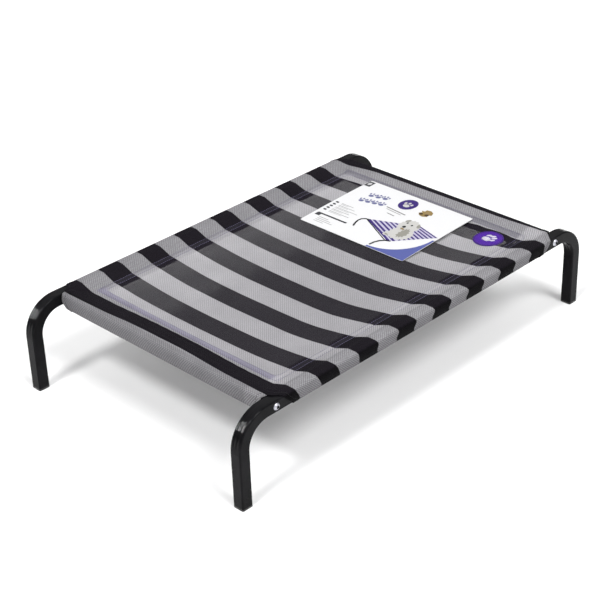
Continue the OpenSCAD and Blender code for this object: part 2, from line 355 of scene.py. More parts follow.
def satin_plastic(name, dark, light, grain=700.0):
    """Moulded plastic with a fine spark-eroded grain."""
    s = Shader(name)
    place = s.place()
    fine = s.noise(place, grain, 2.0)
    cloud = s.noise(place, 45.0, 3.0)
    s.set(Base_Color=s.mix(s.step(cloud, 0.3, 0.7), dark, light),
          Roughness=s.step(fine, 0.25, 0.8, 0.38, 0.58), Specular_IOR_Level=0.45)
    return s.set(Normal=s.bump(fine, 0.05 * MM, 0.5))


def zinc_plate():
    """Bright zinc plate with fine turning marks and small dull spots."""
    s = Shader("zinc_plate")
    place = s.place()
    brushed = s.noise(s.place((1, 14, 1)), 500.0, 3.0)
    spots = s.noise(place, 420.0, 3.0)
    x, _, z = s.split(place)
    beside = s.minus(s.size(x), bar_high.x - HALF_TUBE)
    above = s.minus(z, TUBE_Z)
    from_axis = s.math("SQRT", s.plus(s.times(beside, beside), s.times(above, above)))
    base = s.mix(s.step(spots, 0.45, 0.7), colour(0.60, 0.60, 0.66), colour(0.42, 0.42, 0.48))
    # painted shade: the socket's recess is coloured near black
    base = s.mix(s.step(from_axis, SOCKET_SHADE_RADIUS, SOCKET_SHADE_RADIUS + 0.5 * MM), grey(0.02), base)
    s.set(Base_Color=base, Metallic=1.0, Roughness=s.step(spots, 0.3, 0.8, 0.40, 0.58))
    return s.set(Normal=s.bump(brushed, 0.03 * MM, 0.5))


def twisted_thread(name, dark, light, lay=0.55 * MM):
    """Sewing thread: plies that wind round it, a soft sheen and a little fluff."""
    s = Shader(name)
    place = s.place()
    x, y, z = s.split(place)
    ply = s.math("SINE", s.times(s.plus(x, y, s.times(z, 1.3)), 2 * math.pi / lay))
    fluff = s.noise(place, 1500.0, 3.0)
    s.set(Base_Color=s.mix(s.step(ply, -0.6, 0.8), dark, light), Sheen_Weight=0.06, Sheen_Roughness=0.4,
          Roughness=s.step(fluff, 0.2, 0.8, 0.45, 0.7), Specular_IOR_Level=0.2)
    return s.set(Normal=s.bump(ply, 0.12 * MM, 0.7, s.bump(fluff, 0.05 * MM, 0.4)))


def badge_cloth():
    """Dense purple twill of the badge."""
    s = Shader("badge_cloth")
    place = s.place()
    x, y, _ = s.split(place)
    under, height = weave(s, x, y, 0.7 * MM)
    tone = s.noise(place, 300.0, 3.0)
    base = s.mix(s.step(tone, 0.3, 0.7), colour(0.046, 0.008, 0.22), colour(0.078, 0.016, 0.31))
    base = s.mix(s.times(under, 0.3), base, colour(0.028, 0.007, 0.12))
    s.set(Base_Color=base, Roughness=s.step(tone, 0.2, 0.8, 0.42, 0.6), Specular_IOR_Level=0.15,
          Sheen_Weight=0.04, Sheen_Roughness=0.35)
    return s.set(Normal=s.bump(height, 0.15 * MM, 0.6))


def coated_card(name, base_low, base_high, rough=0.3):
    """Printed and laminated card: faint fibre show-through and a soft gloss."""
    s = Shader(name)
    place = s.place()
    fibre = s.noise(place, 900.0, 4.0)
    cloud = s.noise(place, 9.0, 2.0)
    s.set(Base_Color=s.mix(s.step(fibre, 0.3, 0.7), base_low, base_high),
          Roughness=s.step(cloud, 0.3, 0.7, rough, rough + 0.12), Specular_IOR_Level=0.18)
    return s.set(Normal=s.bump(fibre, 0.02 * MM, 0.25, s.bump(cloud, 1.5 * MM, 0.12)))


# ---- mesh helpers

def new_piece(name, points, faces, materials, smooth=True, picks=None):
    """Mesh object from points in metres; picks gives each face's material number."""
    mesh = bpy.data.meshes.new(name)
    mesh.from_pydata([tuple(map(float, p)) for p in points], [], faces)
    for material in materials:
        mesh.materials.append(material)
    mesh.polygons.foreach_set("use_smooth", [smooth] * len(mesh.polygons))
    if picks is not None:
        mesh.polygons.foreach_set("material_index", picks)
    mesh.update()
    return link(bpy.data.objects.new(name, mesh))


def link(thing):
    bpy.context.scene.collection.objects.link(thing)
    return thing


def round_turn(count):
    """Angles spaced evenly round a full turn."""
    return np.linspace(0, 2 * np.pi, count, endpoint=False)


def running_length(path):
    """Distance along a path to each of its points."""
    return np.concatenate([[0], np.cumsum(np.linalg.norm(np.diff(path, axis=0), axis=1))])


def disc_faces(rings, around):
    """Faces of a disc: a fan round point 0, then a band to each further ring of points."""
    faces = [(0, 1 + k, 1 + (k + 1) % around) for k in range(around)]
    for ring in range(rings - 1):
        for k in range(around):
            a, b = 1 + ring * around + k, 1 + ring * around + (k + 1) % around
            faces.append((a, a + around, b + around, b))
    return faces


def arc_points(centre, radius, start, end, count=14):
    """Points round a corner, in degrees."""
    angles = np.radians(np.linspace(start, end, count))
    return [(centre[0] + radius * math.cos(a), centre[1] + radius * math.sin(a)) for a in angles]


def tangent_angle(centre, radius, point, side):
    """Angle at which a line from the point touches the circle, on its upper (1) or lower (-1) side."""
    dx, dz = point[0] - centre[0], point[1] - centre[1]
    reach = math.hypot(dx, dz)
    return math.degrees(math.atan2(dz, dx)) - side * math.degrees(math.acos(radius / reach))


# ---- the sling

def sleeve_path():
    """Section of a sleeve from the seam over the tube and back: (outboard of the seam, height)."""
    middle = SEAM_INSET + HALF_TUBE
    half = HALF_TUBE + SLEEVE_GAP
    flat = half - SLEEVE_ROUND
    upper_in, upper_out = (middle - flat, TUBE_Z + flat), (middle + flat, TUBE_Z + flat)
    lower_out, lower_in = (middle + flat, TUBE_Z - flat), (middle - flat, TUBE_Z - flat)
    seam = (0.0, SEAM_Z)
    rise = (SEAM_BAND, SEAM_Z + 0.5 * MM)
    under_band = (SEAM_BAND + 1 * MM, rise[1] - LAYER_GAP)
    top_touch = tangent_angle(upper_in, SLEEVE_ROUND, rise, 1)
    low_touch = tangent_angle(lower_in, SLEEVE_ROUND, under_band, -1)
    bow = [(middle + half + OUTER_BOW * math.sin(math.pi * t), TUBE_Z + flat * (1 - 2 * t))
           for t in np.linspace(0.1, 0.9, 9)]
    path = [seam, rise]
    path += arc_points(upper_in, SLEEVE_ROUND, top_touch % 360, 90)
    path += arc_points(upper_out, SLEEVE_ROUND, 90, 0)
    path += bow
    path += arc_points(lower_out, SLEEVE_ROUND, 0, -90)
    path += arc_points(lower_in, SLEEVE_ROUND, -90, low_touch - (360 if low_touch > 0 else 0))
    path += [under_band, (0.0, SEAM_Z - LAYER_GAP), (-HEM_INSIDE, SEAM_Z - 1.35 * LAYER_GAP)]
    path = np.array(path)
    return path, running_length(path)


SECTION, SECTION_LENGTH = sleeve_path()
SLEEVE_LENGTH = SECTION_LENGTH[-1]


def section_at(distance):
    """(outboard, height) at a distance over the cloth from the seam."""
    return (np.interp(distance, SECTION_LENGTH, SECTION[:, 0]),
            np.interp(distance, SECTION_LENGTH, SECTION[:, 1]))


def distance_at_top(outboard):
    """Distance over the cloth to a point of the upper layer or of the tube's top."""
    upper = SECTION_LENGTH <= SECTION_LENGTH[np.argmax(SECTION[:, 0])]
    return float(np.interp(outboard, SECTION[upper, 0], SECTION_LENGTH[upper]))


TOP_IN = distance_at_top(SEAM_INSET)                 # over the tube's inner top edge
TOP_OUT = distance_at_top(SEAM_INSET + TUBE)         # over its outer top edge
LOW_OUT = TOP_OUT + TUBE
LOW_IN = LOW_OUT + TUBE


def cloth_end(distance, knots):
    """Where the sleeve's cut end lies, at a distance over the cloth: smooth through its knots."""
    places, ends = zip(*knots)
    t = np.interp(distance, places, np.arange(len(places)))
    k = np.clip(t.astype(int), 0, len(places) - 2)
    f = t - k
    share = 0.5 * (f + f * f * (3 - 2 * f))
    ends = np.array(ends)
    return ends[k] * (1 - share) + ends[k + 1] * share


NOTCH_P = distance_at_top(SEAM_INSET + 13 * MM)
NOTCH_Q = distance_at_top(SEAM_INSET + 3 * MM)
RAIL_ENDS = ((NOTCH_Q, NOTCH_P), (TOP_OUT, 29 * MM), (LOW_OUT, 4 * MM), (LOW_IN, -7 * MM),
             (SLEEVE_LENGTH, -16 * MM))
BAR_ENDS = ((NOTCH_P, NOTCH_Q), (TOP_OUT, TOP_IN - 1.2 * MM), (TOP_OUT + 0.5 * TUBE, TOP_IN - 1.0 * MM),
            (LOW_OUT, 22 * MM), (LOW_IN, 6 * MM), (SLEEVE_LENGTH, -8 * MM))


def wave(p, q):
    """Slight unevenness of the stretched panel: broad swells and small puckers along the seam."""
    swell = 0.5 * np.sin(9.1 * p + 4.2 * q + 0.6) * np.sin(7.3 * q - 3.1 * p + 1.9)
    swell += 0.28 * np.sin(23.0 * p - 11.0 * q + 2.0) * np.sin(19.0 * q + 5.0 * p)
    outboard = np.maximum(np.abs(p) - SEAM_X, np.abs(q) - SEAM_Y)
    close = np.exp(-np.abs(outboard) / (16 * MM))
    along = np.where(np.abs(p) / SEAM_X > np.abs(q) / SEAM_Y, q, p)
    pucker = 0.30 * np.sin(2 * np.pi * along / (31 * MM) + 1.2 * np.sin(17 * along)) * close
    return (swell * np.clip(-outboard / (60 * MM), 0, 1) + pucker) * MM


def slack_share(distance):
    """How much of the slack shows at a distance over a crossbar's sleeve: none on top, all under the tube."""
    knots = (TOP_OUT, TOP_OUT + 0.45 * TUBE, LOW_OUT, LOW_IN, SLEEVE_LENGTH - HEM_INSIDE - SEAM_BAND)
    return np.interp(distance, knots, (0.0, 0.22, 0.9, 1.0, 0.0))


def panel_sag(x, y):
    """How far the middle hangs below the seam at a place: most at the middle, none at the seams."""
    lengthwise = 1 - np.clip(np.abs(x) / SEAM_X, 0, 1) ** 8
    crosswise = 1 - np.clip(y / SEAM_Y, -1, 1) ** 2
    return SAG * lengthwise * crosswise


def cloth_place(p, q):
    """Where a point of the cut cloth lies, p along the bed and q across it, on the middle of the layer."""
    p, q = np.broadcast_arrays(np.asarray(p, float), np.asarray(q, float))
    dp, dq = np.abs(p) - SEAM_X, np.abs(q) - SEAM_Y
    up, zp = section_at(np.maximum(dp, 0))
    uq, zq = section_at(np.maximum(dq, 0))
    zp = zp - BAR_SLACK * slack_share(dp)
    x = np.where(dp > 0, np.sign(p) * (SEAM_X + up), p)
    y = np.where(dq > 0, np.sign(q) * (SEAM_Y + uq), q)
    sagging = SEAM_Z - panel_sag(p, q)
    zp, zq = zp - panel_sag(x, y), zq - panel_sag(x, y)
    full = float(section_at(TOP_IN)[1]) - SEAM_Z
    climbs = [np.clip((z - SEAM_Z) / full, 0, None) ** 3 for z in (zp, zq)]
    rise = (climbs[0] + climbs[1]) ** (1 / 3)
    z = np.where((dp > 0) & (dq <= 0), zp, sagging)
    z = np.where((dq > 0) & (dp <= 0), zq, z)
    both = (dp > 0) & (dq > 0)
    z = np.where(both, SEAM_Z + full * np.minimum(rise, 1), z)
    z = np.where(both & (dq >= TOP_IN), zq, z)
    z = np.where(both & (dp >= TOP_IN) & (dq < TOP_IN), zp, z)
    flat_part = np.maximum(dp, dq) < TOP_IN
    hem_part = np.clip(-np.minimum(up, uq) / (6 * MM), 0, 1)
    z = z + np.where(flat_part, wave(p, q), hem_part * wave(x, y))
    return np.stack([x, y, z], -1)


def cloth_normal(p, q):
    """Outward unit normal of the cloth: up on the panel, away from the tube on a sleeve."""
    small = 0.4 * MM
    across = cloth_place(p + small, q) - cloth_place(p - small, q)
    along = cloth_place(p, q + small) - cloth_place(p, q - small)
    normal = np.cross(across, along)
    return normal / np.maximum(np.linalg.norm(normal, axis=-1, keepdims=True), 1e-12)


def cloth_lines(half, notch):
    """Grid lines of the cut, symmetric: the panel, then the sleeve, with one line exactly at the notch."""
    inner = np.linspace(-half, half, 2 * round(half / PANEL_STEP) + 1)
    before = np.linspace(0, notch, round(notch / CLOTH_STEP) + 1)[1:]
    after = np.linspace(notch, SLEEVE_LENGTH, round((SLEEVE_LENGTH - notch) / CLOTH_STEP) + 1)[1:]
    sleeve = half + np.concatenate([before, after])
    return np.concatenate([-sleeve[::-1], inner, sleeve])


def eased(distance, end, notch):
    """Moves a grid line near the corner so that the last one lies on the cut end."""
    t = np.clip((distance + EASE) / (notch + EASE), 0, None)
    return np.where(distance > -EASE, -EASE + t * (end + EASE), distance)


def sling_grid():
    """Grid of the cut cloth: cut coordinates, which nodes exist, and distances to the cut ends."""
    p, q = np.meshgrid(cloth_lines(SEAM_X, NOTCH_P), cloth_lines(SEAM_Y, NOTCH_Q), indexing="ij")
    dp, dq = np.abs(p) - SEAM_X, np.abs(q) - SEAM_Y
    tiny = 1e-7
    on_rail, on_bar = dq > NOTCH_Q + tiny, dp > NOTCH_P + tiny
    keep = ~(on_rail & on_bar)
    rail_end = cloth_end(np.clip(dq, NOTCH_Q, None), RAIL_ENDS)
    bar_end = cloth_end(np.clip(dp, NOTCH_P, None), BAR_ENDS)
    new_dp = np.where(on_rail, eased(dp, rail_end, NOTCH_P), dp)
    new_dq = np.where(on_bar, eased(dq, bar_end, NOTCH_Q), dq)
    folds = np.where(on_rail, rail_end - new_dp, 1.0)
    folds = np.where(on_bar, np.minimum(folds, bar_end - new_dq), folds)
    corner = ~on_rail & ~on_bar
    top_rail, top_bar = dq > TOP_IN - 12 * MM, dp > TOP_IN - 12 * MM
    folds = np.where(corner & top_rail & (dp > 0), np.minimum(folds, NOTCH_P - dp + 2 * MM), folds)
    folds = np.where(corner & top_bar & (dq > 0), np.minimum(folds, NOTCH_Q - dq + 8 * MM), folds)
    return np.sign(p) * (SEAM_X + new_dp), np.sign(q) * (SEAM_Y + new_dq), keep, np.clip(folds, 0, 0.2)


def four_corners(grid):
    """Values at the four corners of each cell of a grid, in order round the cell."""
    return grid[:-1, :-1], grid[1:, :-1], grid[1:, 1:], grid[:-1, 1:]


def make_sling(material):
    """The whole cloth as one sheet: the panel and four sleeves folded round the tubes."""
    p, q, keep, folds = sling_grid()
    points = cloth_place(p, q)
    normal = cloth_normal(p, q)
    lift = HEM_LIFT * np.clip(5 * (1 - folds / HEM_WIDTH), 0, 1)
    points = points + normal * lift[..., None]
    number = np.full(p.shape, -1)
    number[keep] = np.arange(keep.sum())
    whole = np.minimum.reduce(four_corners(number)) >= 0
    faces = np.stack([c[whole] for c in four_corners(number)], -1).tolist()
    sling = new_piece("sling", points[keep], faces, [material])
    mesh = sling.data
    cut = np.stack([p[keep], q[keep]], -1)
    loops = np.zeros(len(mesh.loops), np.int32)
    mesh.loops.foreach_get("vertex_index", loops)
    layer = mesh.uv_layers.new(name="cut")
    layer.data.foreach_set("uv", cut[loops].astype(np.float32).ravel())
    attribute = mesh.attributes.new("folds", "FLOAT", "POINT")
    attribute.data.foreach_set("value", folds[keep].astype(np.float32))
    thick = sling.modifiers.new("layer", "SOLIDIFY")
    thick.thickness = LAYER
    thick.offset = 0
    thick.use_even_offset = False
    return sling


# ---- stitches

def rounded_rectangle(half_x, half_y, radius, step):
    """Closed path of points round a rectangle with round corners, evenly spaced."""
    path = []
    for sx, sy, turn in ((1, 1, 0), (-1, 1, 90), (-1, -1, 180), (1, -1, 270)):
        path += arc_points((sx * (half_x - radius), sy * (half_y - radius)), radius, turn, turn + 90, 10)
    return evenly(np.array(path + path[:1]), step)


def evenly(path, step):
    """Points spaced evenly along a path, both ends kept."""
    length = running_length(path)
    at = np.linspace(0, length[-1], max(2, round(length[-1] / step) + 1))
    return np.stack([np.interp(at, length, path[:, k]) for k in range(path.shape[1])], -1)


def thread_mesh(runs, thickness, sides=5):
    """Short thread pieces: each run is (points, normals); returns points and faces of their tubes."""
    points, faces = [], []
    for spots, normals in runs:
        first = len(points)
        count = len(spots)
        heading = np.gradient(spots, axis=0)
        heading /= np.linalg.norm(heading, axis=1, keepdims=True)
        sideways = np.cross(heading, normals)
        sideways /= np.linalg.norm(sideways, axis=1, keepdims=True)
        upward = np.cross(sideways, heading)
        fat = np.sin(np.linspace(0.25, math.pi - 0.25, count)) ** 0.5 * thickness / 2
        for k in range(count):
            for side in range(sides):
                a = 2 * math.pi * side / sides
                points.append(spots[k] + fat[k] * (math.cos(a) * sideways[k] + math.sin(a) * upward[k]))
        for k in range(count - 1):
            for side in range(sides):
                a, b = first + k * sides + side, first + k * sides + (side + 1) % sides
                faces.append((a, b, b + sides, a + sides))
        faces.append(tuple(first + side for side in range(sides))[::-1])
        faces.append(tuple(first + (count - 1) * sides + side for side in range(sides)))
    return points, faces


def stitch_runs(path, rise, sink, share=0.8, lift=0.0, flip=1):
    """One arched thread for each stitch along a path over the cut cloth."""
    runs = []
    arch = np.array([-1.0, 0.55, 1.0, 0.55, -1.0])
    for a, b in zip(path[:-1], path[1:]):
        t = np.linspace(0.5 - share / 2, 0.5 + share / 2, len(arch))[:, None]
        spot = a + (b - a) * t
        place = cloth_place(spot[:, 0], spot[:, 1])
        normal = cloth_normal(spot[:, 0], spot[:, 1])
        height = np.where(arch > 0, arch * rise, arch * sink)
        runs.append((place + normal * (flip * (lift + height))[:, None], normal * flip))
    return runs


def make_seam_threads(material, hem_material):
    """Two rows of stitches round the seam, above and below, and one row along each sleeve's hem."""
    stitch, hem_stitch, inset = 5.2 * MM, 4.2 * MM, 11 * MM
    runs = []
    for outboard in (-ROW_INSIDE + 2 * MM, SEAM_BAND - 1 * MM):
        path = rounded_rectangle((SEAM_FAR - SEAM_NEAR) / 2 + outboard, SEAM_Y + outboard, 12 * MM, stitch)
        path[:, 0] += (SEAM_FAR + SEAM_NEAR) / 2
        runs += stitch_runs(path, 0.5 * MM, 0.35 * MM, lift=LAYER / 2)
        runs += stitch_runs(path, 0.35 * MM, 0.3 * MM, lift=LAYER / 2 + 1.25 * LAYER_GAP, flip=-1)
    seam_points, seam_faces = thread_mesh(runs, SEAM_THREAD)
    runs = []
    for sx in (-1, 1):
        for sy in (-1, 1):
            for ends, start in ((RAIL_ENDS, 6 * MM), (BAR_ENDS, 16 * MM)):
                at = np.arange(TOP_IN + start, LOW_IN, 1 * MM)
                end = cloth_end(at, ends) - inset
                out_x, out_y = (end, at) if ends is RAIL_ENDS else (at, end)
                path = np.stack([sx * (SEAM_X + out_x), sy * (SEAM_Y + out_y)], -1)
                runs += stitch_runs(evenly(path, hem_stitch), 0.45 * MM, 0.3 * MM, lift=LAYER / 2 + 0.5 * MM)
    points, faces = thread_mesh(runs, SEAM_THREAD)
    faces = [tuple(i + len(seam_points) for i in f) for f in faces]
    picks = [0] * len(seam_faces) + [1] * len(faces)
    return new_piece("seam_threads", seam_points + points, seam_faces + faces, [material, hem_material],
                     picks=picks)


# ---- the badge

BADGE_R = (badge_high.x - badge_low.x) / 2
BADGE_X = (badge_high.x + badge_low.x) / 2
BADGE_Y = (badge_high.y + badge_low.y) / 2
BADGE_LIFT = LAYER / 2 + 0.25 * MM


def on_badge(x, y, height):
    """Place at a height over the panel, near the badge."""
    base = cloth_place(x, y)
    base[..., 2] += BADGE_LIFT + height
    return base


def make_badge(material):
    """Padded disc: a crowned face, a stitched-down rim and a flat underside."""
    rings = (0.0, 0.14, 0.28, 0.42, 0.56, 0.68, 0.78, 0.86, 0.91, 0.95, 0.98, 1.0, 1.0, 0.97)
    heights = (1.75, 1.74, 1.72, 1.68, 1.60, 1.50, 1.38, 1.22, 1.10, 0.95, 0.75, 0.5, 0.15, 0.0)
    around = 96
    angles = round_turn(around)
    points = [on_badge(BADGE_X, BADGE_Y, heights[0] * MM)]
    for ring, height in zip(rings[1:], heights[1:]):
        x = BADGE_X + BADGE_R * ring * np.cos(angles)
        y = BADGE_Y + BADGE_R * ring * np.sin(angles)
        points += list(on_badge(x, y, height * MM))
    faces = disc_faces(len(rings) - 1, around)
    faces.append(tuple(1 + (len(rings) - 2) * around + k for k in range(around)))
    return new_piece("badge_disc", points, faces, [material])


def make_badge_threads(material):
    """Overlock stitches round the badge's edge: one slanted thread after another."""
    count, lean = 150, 0.035
    t = np.linspace(0, 1, 6)
    runs = []
    for a in round_turn(count):
        radius = BADGE_R * (0.885 + 0.13 * t)
        height = (1.32 - 1.15 * t ** 2 + 0.42 * np.sin(np.pi * t)) * MM
        angle = a + lean * t
        spots = on_badge(BADGE_X + radius * np.cos(angle), BADGE_Y + radius * np.sin(angle), height)
        normals = np.stack([np.cos(angle) * t, np.sin(angle) * t, 1.2 - t], -1)
        runs.append((spots, normals))
    points, faces = thread_mesh(runs, 1.15 * MM)
    return new_piece("badge_threads", points, faces, [material])


def make_paw(material):
    """Plain paw mark in white satin stitch: a pad and four toes, each filled with parallel threads."""
    turn = math.radians(-128)
    blobs = ((0.0, -0.16, 0.34, 0.27), (-0.36, 0.16, 0.115, 0.165), (-0.135, 0.37, 0.12, 0.175),
             (0.135, 0.37, 0.12, 0.175), (0.36, 0.16, 0.115, 0.165))
    pitch = 0.62 * MM
    size = BADGE_R * 0.98
    runs = []
    for number, (cx, cy, rx, ry) in enumerate(blobs):
        rows = int(2 * ry * size / pitch)
        for row in range(rows):
            v = -ry + 2 * ry * (row + 0.5) / rows
            reach = rx * math.sqrt(max(0.0, 1 - (v / ry) ** 2))
            if number == 0:     # the pad, dented at its heel
                reach -= 0.10 * math.exp(-((v + ry) / (0.4 * ry)) ** 2)
            if reach < 0.03:
                continue
            t = np.linspace(-1, 1, 7)
            u = cx + reach * t
            w = np.full_like(u, cy + v) + 0.04 * t
            x = BADGE_X + size * (u * math.cos(turn) - w * math.sin(turn))
            y = BADGE_Y + size * (u * math.sin(turn) + w * math.cos(turn))
            radius = np.hypot(x - BADGE_X, y - BADGE_Y) / BADGE_R
            face = np.interp(radius, [0, 0.42, 0.68, 0.86], [1.75, 1.68, 1.50, 1.22]) * MM
            height = face + 0.55 * MM * np.sqrt(np.clip(1 - t ** 2, 0, 1)) - 0.1 * MM
            runs.append((on_badge(x, y, height), np.tile([0.0, 0.0, 1.0], (len(t), 1))))
    points, faces = thread_mesh(runs, 0.85 * MM)
    return new_piece("badge_paw", points, faces, [material])


# ---- the card

CARD_LONG = card_high.y - card_low.y
CARD_WIDE = card_high.x - card_low.x
CARD_THICK = 0.6 * MM
CARD_BOW = 1.6 * MM
CARD_ROUND = 2.5 * MM


def card_place(u, v, height):
    """Place on the card: u from 0 to 1 from the left side, v from 0 to 1 from the far edge."""
    u, v = np.asarray(u, float), np.asarray(v, float)
    low = card_low.z + CARD_THICK
    x = card_high.x - v * CARD_WIDE
    y = card_high.y - u * CARD_LONG
    z = low + (card_high.z - low) * (1 - v) + CARD_BOW * 4 * v * (1 - v) * (1 - 0.35 * (2 * u - 1) ** 2)
    return np.stack([x, y, z + height + np.zeros_like(x)], -1)


def make_card(material):
    """Card with round corners and a slight bow: a closed sheet over a fine grid."""
    around_x, around_y = 36, 30
    u, v = np.meshgrid(np.linspace(0, 1, around_x + 1), np.linspace(0, 1, around_y + 1), indexing="ij")
    mm_u, mm_v = u * CARD_LONG, v * CARD_WIDE
    du = np.maximum(CARD_ROUND - np.minimum(mm_u, CARD_LONG - mm_u), 0) / CARD_ROUND
    dv = np.maximum(CARD_ROUND - np.minimum(mm_v, CARD_WIDE - mm_v), 0) / CARD_ROUND
    pull = np.where((du >= 1) & (dv >= 1), CARD_ROUND * (1 - math.sqrt(0.5)), 0)
    u = u + np.where(u < 0.5, 1, -1) * pull / CARD_LONG
    v = v + np.where(v < 0.5, 1, -1) * pull / CARD_WIDE
    points = [card_place(u, v, height).reshape(-1, 3) for height in (0, -CARD_THICK)]
    number = np.arange(u.size).reshape(u.shape)
    a, b, c, d = (corner.ravel() for corner in four_corners(number))
    upper, lower = np.stack([a, d, c, b], -1), u.size + np.stack([a, b, c, d], -1)
    rim = np.concatenate([number[:-1, 0], number[-1, :-1], number[:0:-1, -1], number[0, :0:-1]])
    following = np.roll(rim, -1)
    side = np.stack([rim, following, u.size + following, u.size + rim], -1)
    faces = np.concatenate([upper, lower, side]).tolist()
    return new_piece("card_sheet", np.concatenate(points), faces, [material], smooth=False)


def ellipse(cu, cv, ru, rv, turn=0.0, count=40):
    """Outline in card millimetres."""
    a = round_turn(count)
    x, y = ru * np.cos(a), rv * np.sin(a)
    t = math.radians(turn)
    return np.stack([cu + x * math.cos(t) - y * math.sin(t), cv + x * math.sin(t) + y * math.cos(t)], -1)


def star(cu, cv, outer, inner, points):
    a = round_turn(2 * points)
    r = np.where(np.arange(2 * points) % 2, inner, outer)
    return np.stack([cu + r * np.cos(a), cv + r * np.sin(a)], -1)


def bar(u0, v0, u1, v1, width):
    """Straight stroke from one point to another."""
    a, b = np.array([u0, v0], float), np.array([u1, v1], float)
    side = np.array([-(b - a)[1], (b - a)[0]]) / np.linalg.norm(b - a) * width / 2
    return np.array([a + side, b + side, b - side, a - side])


def stroke(path, width):
    """Outlines of a bent stroke: straight parts with round joints."""
    parts = [bar(*a, *b, width) for a, b in zip(path[:-1], path[1:])]
    return parts + [ellipse(*spot, width / 2, width / 2, count=12) for spot in path]


def fluffy(cu, cv, ru, rv, tufts, depth):
    """Round outline with tufts, as of a fluffy coat."""
    a = round_turn(8 * tufts)
    r = 1 + depth * np.sin(tufts * a) + 0.5 * depth * np.sin(3 * a + 1)
    return np.stack([cu + ru * r * np.cos(a), cv + rv * r * np.sin(a)], -1)


def paw_print(cu, cv, size, turn=0.0):
    """Outlines of a plain paw print: one pad and three toes."""
    pad = ellipse(cu, cv + 0.25 * size, 0.42 * size, 0.33 * size, turn, 20)
    return [pad] + [ellipse(cu + across * size, cv + up * size, 0.16 * size, 0.23 * size, turn, 14)
                    for across, up in ((-0.45, -0.22), (0.0, -0.42), (0.45, -0.22))]


def drawn(ink, level, *outlines):
    """Print shapes in one ink, on one level above the card."""
    return [(ink, level, outline) for outline in outlines]


def within(corners, s, t):
    """Point of a four-cornered patch."""
    a, b, c, d = (np.array(x, float) for x in corners)
    return (a * (1 - s) + b * s) * (1 - t) + (d * (1 - s) + c * s) * t


def print_bed():
    """Striped pet bed with bent black legs and a fluffy white dog on it."""
    corners = ((118, 140), (226, 97), (286, 113), (216, 186))
    stripes = 10
    shapes = []
    for k in range(stripes):
        starts = [((k + part) / stripes) ** 0.88 for part in (0, 0.5, 1)]
        for ink, s0, s1 in (("lilac", starts[0], starts[1]), ("purple", starts[1], starts[2])):
            strip = [within(corners, s, t) for s, t in ((s0, 0), (s1, 0), (s1, 1), (s0, 1))]
            shapes += drawn(ink, 1, np.array(strip))
    left_leg = [(121, 142), (112, 143), (105, 149), (103, 157), (105, 167), (110, 180)]
    right_leg = [(216, 184), (206, 188), (198, 196), (193, 206), (191, 218)]
    shapes += drawn("purple", 2, bar(120, 141, 212, 184, 6))
    shapes += drawn("black", 3, *stroke([(117, 144), (206, 188)], 2.6), *stroke(left_leg, 4.2),
                    *stroke(right_leg, 5))
    shapes += drawn("fur", 4, fluffy(213, 146, 27, 27, 19, 0.06), fluffy(207, 112, 24, 25, 17, 0.06),
                    fluffy(189, 163, 8, 9, 9, 0.08))
    shapes += drawn("shade", 5, fluffy(217, 143, 10, 19, 11, 0.12), ellipse(191, 95, 4, 7, 30),
                    ellipse(224, 101, 4, 8, -25), ellipse(190, 166, 5, 2.4, 15))
    shapes += drawn("black", 6, ellipse(195.5, 103, 2.4, 3), ellipse(210, 106, 2.6, 3),
                    ellipse(200, 120, 4, 4.6))
    return shapes + drawn("tan", 5, ellipse(203, 129, 6, 3, 10))


def print_list():
    """Left part of the card: a list with marks, a heavy rule and small print shown as plain lines."""
    shapes = []
    for k, reach in enumerate((58, 70, 86, 72, 80)):
        v = 124 + 10 * k
        shapes += drawn("slate_black", 1, ellipse(11.5, v, 5, 3.1, 12, 14))
        shapes += drawn("pale", 1, bar(24, v - 1, reach, v - 1, 1.8),
                        bar(24, v + 3, 0.7 * reach + 6, v + 3, 1.2))
    shapes += drawn("slate_black", 1, bar(9, 183, 92, 183, 5), bar(8, 188.5, 21, 188.5, 10))
    rows = [bar(25, 196 + 6 * k, 52 + 10 * (k % 3), 196 + 6 * k, 1.8) for k in range(4)]
    return shapes + drawn("pale", 1, *rows)


def card_print():
    """Shapes of the print, in millimetres from the card's far-left corner: (ink, level, outline)."""
    wide, deep = CARD_LONG / MM, CARD_WIDE / MM
    shapes = print_bed() + print_list()
    t = np.linspace(0, 1, 28)
    turn = t * np.pi / 2
    swoosh = np.stack([188 + 96 * np.sin(turn), 224 - 96 * (1 - np.cos(turn))], -1)
    edge = [[wide - 0.6, 126], [wide - 0.6, deep - 0.6], [188, deep - 0.6]]
    shapes += drawn("periwinkle", 1, np.vstack([swoosh, edge]))
    shapes += drawn("purple", 1, ellipse(141, 38, 21, 24.5))
    shapes += drawn("fur", 2, *paw_print(141, 40, 19))
    for row, spots in enumerate(((50, 67, 84), (47, 63, 79, 95))):
        for u in spots:
            shapes += drawn("slate", 1, *paw_print(u, 53 + 29 * row - 0.23 * (u - 50), 15, -14))
    shapes += drawn("gold", 1, star(197.5, 46, 16, 10, 9))
    shapes += drawn("tan", 2, ellipse(200, 43, 8, 6, 20))
    shapes += drawn("brown", 3, ellipse(204, 51, 5, 4, -30), ellipse(190, 53, 4.4, 4))
    shapes += drawn("grey", 1, bar(111, 74, 168, 79, 3.4), bar(116, 81, 160, 85, 1.8),
                    bar(130, 95, 152, 97, 2.6))
    shapes += drawn("slate_black", 1, np.array([[0.8, 4], [17, 4], [17, 27], [0.8, 27]]))
    return shapes + drawn("white", 2, ellipse(8.5, 15, 4.4, 6, 15, 20))


